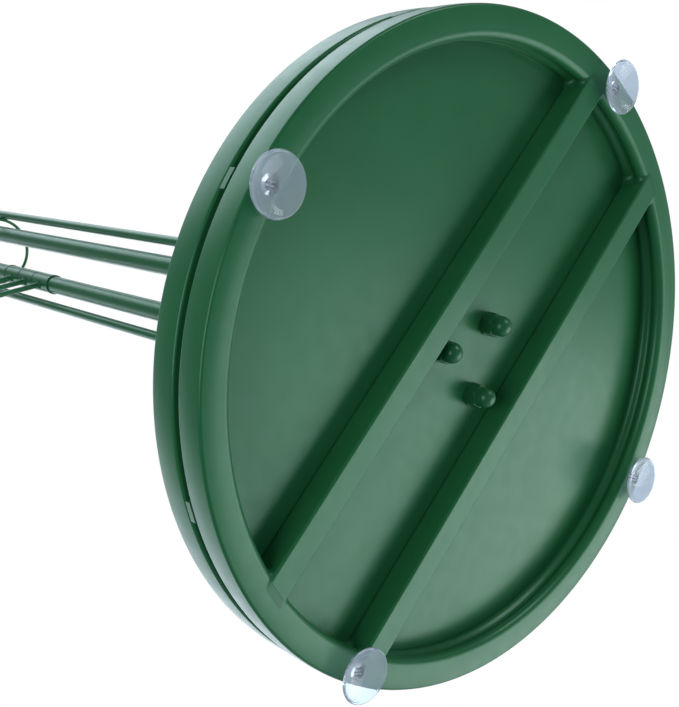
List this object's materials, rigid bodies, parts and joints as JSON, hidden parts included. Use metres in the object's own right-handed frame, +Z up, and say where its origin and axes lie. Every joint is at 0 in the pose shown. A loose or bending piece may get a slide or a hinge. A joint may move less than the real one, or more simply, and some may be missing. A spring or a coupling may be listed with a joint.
{
  "type": "floor stand",
  "caption": "Round double-ring floor stand on clear suction cups, with a slim four-rod column and short swing arms on one post.",
  "frame": {"origin": "centre of the base, on the surface that the suction cups stand on", "axes": "+Z up along the column; the two main posts stand side by side along Y; +X is the side away from the swing arms at rest"},
  "size_m": [0.305, 0.3056, 0.6902],
  "materials": {
    "green_powder_coat": "satin powder coat",
    "coated_hardware": "satin powder coat, slightly glossier",
    "zinc_steel": "bright zinc plate",
    "green_plastic": "fine-grained moulding",
    "clear_pvc": "soft clear PVC, slightly blue"
  },
  "bodies": {
    "stand": {"lower_ring": "green_powder_coat", "upper_ring": "green_powder_coat", "base_plate": "green_powder_coat", "rim_tabs": "green_powder_coat", "cross_bar_left": "green_powder_coat", "cross_bar_right": "green_powder_coat", "suction_cup_1": "clear_pvc", "suction_cup_2": "clear_pvc", "suction_cup_3": "clear_pvc", "suction_cup_4": "clear_pvc", "foot_flange": "green_powder_coat", "foot_stud_1": "zinc_steel", "foot_washer_1": "coated_hardware", "cap_nut_1": "coated_hardware", "foot_stud_2": "zinc_steel", "foot_washer_2": "coated_hardware", "cap_nut_2": "coated_hardware", "foot_stud_3": "zinc_steel", "foot_washer_3": "coated_hardware", "cap_nut_3": "coated_hardware", "main_post_left": "green_powder_coat", "post_cap_left": "green_plastic", "main_post_right": "green_powder_coat", "post_cap_right": "green_plastic", "side_rod": "green_powder_coat", "guide_hoop": "green_powder_coat", "stop_collar_lower": "green_powder_coat", "stop_collar_upper": "green_powder_coat", "spacer_1": "green_plastic", "spacer_2": "green_plastic"},
    "swing_arm_1": {"swing_sleeve_1": "green_powder_coat", "swing_rod_1": "green_powder_coat"},
    "swing_arm_2": {"swing_sleeve_2": "green_powder_coat", "swing_rod_2": "green_powder_coat"},
    "swing_arm_3": {"swing_sleeve_3": "green_powder_coat", "swing_rod_3": "green_powder_coat"}
  },
  "joints": [
    {"name": "arm_1_swing", "type": "hinge", "parent": "stand", "child": "swing_arm_1", "pos_m": [0, 0.015, 0.4454], "axis": [0, 0, 1], "range_deg": [-38, 88]},
    {"name": "arm_2_swing", "type": "hinge", "parent": "stand", "child": "swing_arm_2", "pos_m": [0, 0.015, 0.4702], "axis": [0, 0, 1], "range_deg": [-38, 88]},
    {"name": "arm_3_swing", "type": "hinge", "parent": "stand", "child": "swing_arm_3", "pos_m": [0, 0.015, 0.495], "axis": [0, 0, 1], "range_deg": [-38, 88]}
  ]
}
